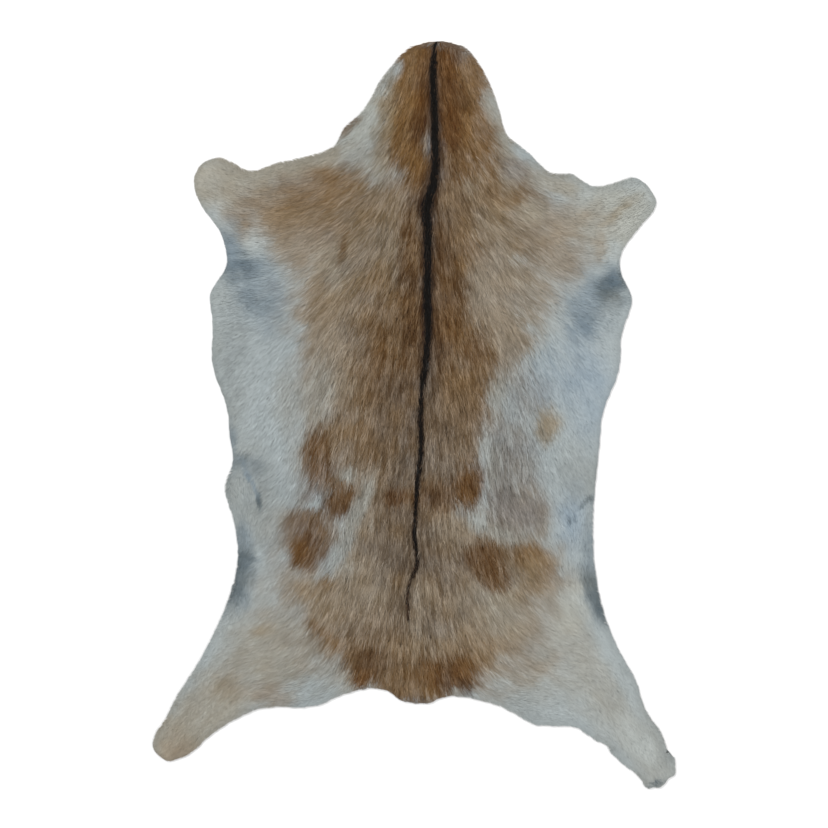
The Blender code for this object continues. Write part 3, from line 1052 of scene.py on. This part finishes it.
def grow(name, x, y, cells, rng, length, width, lift, turn_x, turn_y, tint, gather=GATHER):
    """Ribbons from roots x, y towards turn_x, turn_y, joined in one mesh.

    Across the floor a strand runs root + t length, plus a slight bow that grows with t squared and
    the pull of its lock. Its height runs from the skin to a share, lift, of the coat's height there.
    Its width narrows to a point. A strand that would reach past the rim is shortened.
    """
    column, row, cell_count = cells
    count = len(x)
    depth = read_map(depth_map, x, y)
    tip_depth = read_map(depth_map, x + length * turn_x, y + length * turn_y)
    over = -tip_depth > TIP_OVER
    shorten = np.where(over, (depth + TIP_OVER) / np.maximum(depth - tip_depth, LEAST_FALL), 1)
    length = length * np.clip(shorten, SHORTEST, 1)

    lock_x, lock_y, _ = locks(x, y)
    side = turn_x * (lock_y - y) - turn_y * (lock_x - x)
    bow = rng.normal(0, STRAND_BOW, count) * length
    smooth = calm(x, y)

    t = STEPS[:, None]
    sideways = (bow + gather * calmed(smooth, "gathering") * side) * t**2
    px = x + t * length * turn_x - sideways * turn_y
    py = y + t * length * turn_y + sideways * turn_x
    top = read_map(top_map, px, py)
    pz = SKIN_TOP - ROOT_SINK + (top - SKIN_TOP) * lift * RISE[:, None]

    roll = rng.normal(0, STRAND_ROLL, count) * calmed(smooth, "roll")
    half = width / 2 * SHAPE[:, None]
    level, up = half * np.cos(roll), half * np.sin(roll)
    left = np.stack((px + level * turn_y, py - level * turn_x, pz + up), -1)
    right = np.stack((px - level * turn_y, py + level * turn_x, pz - up), -1)
    points = np.stack((left[0], right[0], left[1], right[1], left[2]), 1)

    first = len(CORNERS) * np.arange(count)[:, None]
    quads = first + (0, 1, 3, 2)
    tips = first + (2, 3, 4)
    fade = 1 + (FADE[CORNERS] - 1) * calmed(smooth, "fade")[:, None]
    colours = tint[:, None, :] * fade[:, :, None]

    across = np.array((0, 1, 0, 1, 0.5))
    u = (column[:, None] + CELL_SIDE + (1 - 2 * CELL_SIDE) * across) / cell_count
    v = (row[:, None] + CELL_END + (1 - 2 * CELL_END) * STEPS[CORNERS]) / cell_count
    flat = np.stack((u, v), -1).reshape(-1, 2)
    piece = add_piece(name, points.reshape(-1, 3), [quads, tips], colours.reshape(-1, 3), flat, HAIR)
    return piece


def lean(turn_x, turn_y, angle):
    """The direction turned by the angle, counter-clockwise."""
    cos, sin = np.cos(angle), np.sin(angle)
    return turn_x * cos - turn_y * sin, turn_x * sin + turn_y * cos


print("points a strand:", len(CORNERS))


# %% [markdown]
# ## The coat in layers
#
# The coat is grown in layers, as hair grows: soft wool near the skin, then the coat proper, then a
# thinner layer of long hairs on top that lean a little more their own way. Each layer is one mesh. A
# strand's shade adds up four things: streaks drawn along the comb, chance, broader streaks and clumps.

# %% Coat layers
# Columns: layer, spacing of its roots, length, width, in mm, lowest and highest lift, spread of the
# lean in degrees, spread of the shade, gain of the shade.
# The gain is painted shade and light: lower layers are darker, the long hair on top a little paler.
LAYERS = (
    ("wool_hair", 2.65, 11, 1.45, 0.25, 0.55, 14, 0.5, 0.92),
    ("coat_hair_1", 2.50, 14, 1.00, 0.45, 0.75, 9, 0.8, 0.97),
    ("coat_hair_2", 2.50, 15.5, 0.90, 0.55, 0.85, 8, 1.0, 1.00),
    ("coat_hair_3", 2.50, 17, 0.78, 0.65, 0.95, 8, 1.1, 1.01),
    ("long_hair", 2.75, 20, 0.62, 0.80, 1.05, 10, 1.3, 1.03),
)
FIRST_SEED = 100
LOCK_LEAN_SEED = 5
LEAN_SHARE = 0.6
WAVE = 8                # degrees
WAVE_SIZE = 26 * MM
RIM_LENGTH = 0.65       # share of its length that hair has at the rim, and where it is full
RIM_LENGTH_REACH = 40 * MM
LENGTH_RANGE = (0.75, 1.2)
WIDTH_RANGE = (0.7, 1.3)
MID_STRAND = 0.55       # share of a strand's length at which its colour is taken
FINE, FINE_SIZE = 0.65, 2.2 * MM
BROAD, BROAD_SIZE = 0.4, 6 * MM
CLUMP, CLUMP_SIZE = 0.5, 13 * MM
CHANCE = 0.75
WARM, WARM_SIZE, WARM_CHANCE = 1.8, 21 * MM, 0.4
LIFT_STEP = 0.03
STROKE_PICK = 0.3


def picked(x, y, stroke):
    """The coat's colour, where a pale stroke makes the paler tone likelier."""
    return coat_colour(x, y, np.clip(0.5 + STROKE_PICK * stroke, 0, 1))


def coat_layer(name, pitch, length, width, lift_low, lift_high, spread, contrast, gain, seed):
    """One layer: roots, lean, size, height and colour of its strands, then the mesh."""
    rng = np.random.default_rng(seed)
    x, y, column, row, cell_count = scatter(pitch * MM, rng)
    depth = read_map(depth_map, x, y)
    kept = depth > SKIN_INSET
    x, y, column, row, depth = (values[kept] for values in (x, y, column, row, depth))
    count = len(x)
    smooth = calm(x, y)
    number = locks(x, y)[2]
    of_lock = np.random.default_rng(LOCK_LEAN_SEED).normal(0, 1, (2, LOCK_TABLE**2))
    lock_lean, lock_rise = of_lock[:, number]

    comb_x, comb_y = comb(x, y)
    wave = WAVE * noise(x, y, WAVE_SIZE, 8)
    own_lean = LEAN_SHARE * spread * (lock_lean + rng.normal(0, 1, count))
    turn_x, turn_y = lean(comb_x, comb_y, np.radians((wave + own_lean) * calmed(smooth, "lean")))
    short = RIM_LENGTH + (1 - RIM_LENGTH) * np.clip(depth / RIM_LENGTH_REACH, 0, 1)
    size = length * MM * short * calmed(smooth, "length") * rng.uniform(*LENGTH_RANGE, count)
    wide = width * MM * rng.uniform(*WIDTH_RANGE, count) * calmed(smooth, "width")

    mid_x, mid_y = x + MID_STRAND * size * turn_x, y + MID_STRAND * size * turn_y
    fine = streaks(mid_x, mid_y, comb_x, comb_y, FINE_SIZE, 31)
    broad = streaks(mid_x, mid_y, comb_x, comb_y, BROAD_SIZE, 32)
    clump = noise(mid_x, mid_y, CLUMP_SIZE, 33)
    stroke = (FINE * fine + CHANCE * rng.normal(0, 1, count)) * calmed(smooth, "fine strokes")
    stroke = contrast * (stroke + BROAD * broad + CLUMP * clump) * calmed(smooth, "contrast")
    warmth = WARM * noise(mid_x, mid_y, WARM_SIZE, 34) + rng.normal(0, WARM_CHANCE, count)
    level = 0.5 + rng.uniform(-0.5, 0.5, count) * calmed(smooth, "lift's spread")
    height = (lift_low + (lift_high - lift_low) * level) * (1 + LIFT_STEP * (lock_rise + fine))
    height = height * calmed(smooth, "lift")
    # The layer's gain paints shade on the lower layers, and rim_shade darkens the hair near the rim.
    tint = gain * rim_shade(depth) * shaded(picked(mid_x, mid_y, stroke), stroke, warmth)
    return grow(name, x, y, (column, row, cell_count), rng, size, wide, height, turn_x, turn_y, tint)


layers = [coat_layer(*row, seed) for seed, row in enumerate(LAYERS, FIRST_SEED)]

# %% [markdown]
# ## Hair at the rim
#
# At the rim the hair overhangs the skin by a few millimetres and hides its cut edge. These strands are
# rooted along the edge and lean outwards, between the way of the comb and straight out.

# %% Rim strands
RIM_SEED = 300
RIM_HAIR_STEP = 0.22 * MM
# Ranges of the strands: mm from the skin's edge to the root, length and width in mm, lift.
RIM_HAIR_ROOT = (0, 5)
RIM_HAIR_LENGTH = (6, 12)
RIM_HAIR_WIDTH = (0.5, 0.9)
RIM_HAIR_LIFT = (0.35, 1.0)
RIM_HAIR_OUT = 0.9      # pull straight out, against 1 for the comb
RIM_HAIR_LEAN = 0.18
RIM_HAIR_STROKE = 0.6
RIM_HAIR_GATHER = 0.3


def square_cells(number, count):
    """Cells of the flat map, row by row, for strands that aren't rooted on a lattice."""
    columns = int(np.ceil(np.sqrt(count)))
    return number % columns, number // columns, columns


def rim_hair():
    """Strands rooted within a few millimetres of the skin's edge, leaning out over it."""
    rng = np.random.default_rng(RIM_SEED)
    rim = inset_loop(outline, SKIN_INSET)
    after = np.roll(rim, -1, axis=0)
    walked = np.concatenate(([0], np.cumsum(np.linalg.norm(after - rim, axis=1))))
    count = int(walked[-1] / RIM_HAIR_STEP)
    place = (np.arange(count) + rng.uniform(0, 1, count)) * walked[-1] / count
    x, y = (np.interp(place, walked, values) for values in np.vstack((rim, rim[:1])).T)
    step = MAP_STEP
    out_x, out_y = unit(
        read_map(depth_map, x - step, y) - read_map(depth_map, x + step, y),
        read_map(depth_map, x, y - step) - read_map(depth_map, x, y + step),
    )
    back = rng.uniform(*RIM_HAIR_ROOT, count) * MM
    x, y = x - back * out_x, y - back * out_y
    comb_x, comb_y = comb(x, y)
    turn_x, turn_y = unit(comb_x + RIM_HAIR_OUT * out_x, comb_y + RIM_HAIR_OUT * out_y)
    turn_x, turn_y = lean(turn_x, turn_y, rng.normal(0, RIM_HAIR_LEAN, count))
    cells = square_cells(np.arange(count), count)
    length = rng.uniform(*RIM_HAIR_LENGTH, count) * MM
    width = rng.uniform(*RIM_HAIR_WIDTH, count) * MM
    lift = rng.uniform(*RIM_HAIR_LIFT, count)
    stroke = rng.normal(0, RIM_HAIR_STROKE, count)
    tint = shaded(picked(x, y, stroke), stroke, np.zeros(count))
    tint = tint * rim_shade(read_map(depth_map, x, y))
    return grow(
        "rim_hair", x, y, cells, rng, length, width, lift, turn_x, turn_y, tint, RIM_HAIR_GATHER
    )


layers.append(rim_hair())

# %% [markdown]
# ## The back stripe
#
# The stripe's hairs are nearly black and grow closer together than the coat's. They lie on top of it.
# Towards the sides some of them are dark brown, and these soften its edge.

# %% Stripe strands
STRIPE_SEED = 400
STRIPE_HAIR_STEP = 0.046 * MM
STRIPE_HAIR_AHEAD = 14 * MM     # the way is read this far along the stripe
STRIPE_HAIR_ASTRAY = 0.2        # spread of the roots past the stripe's sides, in half widths
STRIPE_HAIR_LEAN = 0.08
# Ranges of the strands: length and width in mm, lift, and how far out the brown ones start.
STRIPE_HAIR_LENGTH = (10, 17)
STRIPE_HAIR_WIDTH = (0.55, 0.9)
STRIPE_HAIR_LIFT = (0.6, 0.98)
STRIPE_HAIR_BROWN = (0.6, 1.3)
BROWN_NARROW = 2 * MM           # half width under which brown starts further in
BROWN_LEAST = 0.3
STRIPE_HAIR_TINT = 0.25


def stripe_hair():
    """Strands from the line of the back, rooted across the stripe's width and combed along it."""
    rng = np.random.default_rng(STRIPE_SEED)
    start, end = STRIPE[0][0] * MM, STRIPE[-1][0] * MM
    count = int((start - end) / STRIPE_HAIR_STEP)
    y = np.linspace(start, end, count)
    middle, half, _ = stripe_at(y)
    side = rng.uniform(-1, 1, count) + rng.normal(0, STRIPE_HAIR_ASTRAY, count)
    x = middle + half * side
    aside = (stripe_at(y - STRIPE_HAIR_AHEAD)[0] - middle) / STRIPE_HAIR_AHEAD
    turn_x, turn_y = unit(*lean(aside, -np.ones(count), rng.normal(0, STRIPE_HAIR_LEAN, count)))
    length = rng.uniform(*STRIPE_HAIR_LENGTH, count) * MM
    wide = rng.uniform(*STRIPE_HAIR_WIDTH, count) * MM
    lift = rng.uniform(*STRIPE_HAIR_LIFT, count)
    brown_from = rng.uniform(*STRIPE_HAIR_BROWN, count) * np.clip(half / BROWN_NARROW, BROWN_LEAST, 1)
    brown = np.abs(side) > brown_from
    tint = np.where(brown[:, None], linear("bark"), linear("black"))
    tint = tint * np.clip(1 + STRIPE_HAIR_TINT * rng.normal(0, 1, count), 0.5, 2)[:, None]
    kept = read_map(depth_map, x, y) > SKIN_INSET
    number = np.arange(count)[kept]
    x, y, length, wide, lift, turn_x, turn_y, tint = (
        values[kept] for values in (x, y, length, wide, lift, turn_x, turn_y, tint)
    )
    cells = square_cells(number, count)
    return grow("back_stripe", x, y, cells, rng, length, wide, lift, turn_x, turn_y, tint, gather=0)


layers.append(stripe_hair())
print("triangles in all:", sum(triangle_counts.values()))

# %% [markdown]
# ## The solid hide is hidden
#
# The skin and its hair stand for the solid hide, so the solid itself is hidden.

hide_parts(HIDE_NODE)

# %% [markdown]
# ## Floor, light and camera
#
# The photograph looks straight down at the rug on plain white. The floor is near white. A soft panel
# lights the rug from the neck's left, a wider and weaker one from the other side, and an even pale room
# fills the rest. A long lens high above keeps every part square to the view.

# %% Floor
FLOOR_HALF = 6.0
FLOOR_DROP = 0.5 * MM
FLOOR_COLOUR = (0.93, 0.93, 0.93, 1)
FLOOR_ROUGHNESS = 0.9
FLOOR_SPECULAR = 0.1


def floor():
    bpy.ops.mesh.primitive_plane_add(size=2 * FLOOR_HALF, location=(0, 0, -FLOOR_DROP))
    piece = bpy.context.object
    piece.name = "floor"
    material, _, shader = new_material("plain floor", FLOOR_ROUGHNESS, FLOOR_SPECULAR)
    shader.inputs["Base Color"].default_value = FLOOR_COLOUR
    piece.data.materials.append(material)


floor()
print("floor side in metres:", 2 * FLOOR_HALF)

# %% Light
# Columns: light, place and side in metres, power in watts.
LIGHTS = (
    ("key light", (-1.6, 1.9, 2.6), 1.4, 66.0),
    ("fill light", (1.8, -1.2, 3.0), 2.4, 34.0),
)
ROOM_COLOUR = (1.0, 1.0, 1.0, 1)
ROOM_LIGHT = 0.72


def panel(name, place, size, power):
    """A square soft light that faces the rug's middle."""
    light = bpy.data.lights.new(name, "AREA")
    light.shape = "SQUARE"
    light.size = size
    light.energy = power
    lamp = bpy.data.objects.new(name, light)
    bpy.context.scene.collection.objects.link(lamp)
    lamp.location = place
    lamp.rotation_euler = (-lamp.location).to_track_quat("-Z", "Y").to_euler()


for row in LIGHTS:
    panel(*row)
world = bpy.data.worlds.new("soft room")
world.use_nodes = True
world.node_tree.nodes["Background"].inputs["Color"].default_value = ROOM_COLOUR
world.node_tree.nodes["Background"].inputs["Strength"].default_value = ROOM_LIGHT
bpy.context.scene.world = world
bpy.context.scene.view_settings.view_transform = "Standard"
print("lights:", len(LIGHTS))

# %% Camera
VIEW_WIDTH = 1.0495
CAMERA_HEIGHT = 5.0
CAMERA_REACH = 50.0
SENSOR = 36.0


def camera():
    data = bpy.data.cameras.new("camera above")
    data.sensor_width = SENSOR
    data.lens = SENSOR * CAMERA_HEIGHT / VIEW_WIDTH
    data.clip_end = CAMERA_REACH
    viewer = bpy.data.objects.new("camera above", data)
    viewer.location = (0, 0, CAMERA_HEIGHT)
    bpy.context.scene.collection.objects.link(viewer)
    bpy.context.scene.camera = viewer


camera()
print("lens in mm:", round(SENSOR * CAMERA_HEIGHT / VIEW_WIDTH, 1))
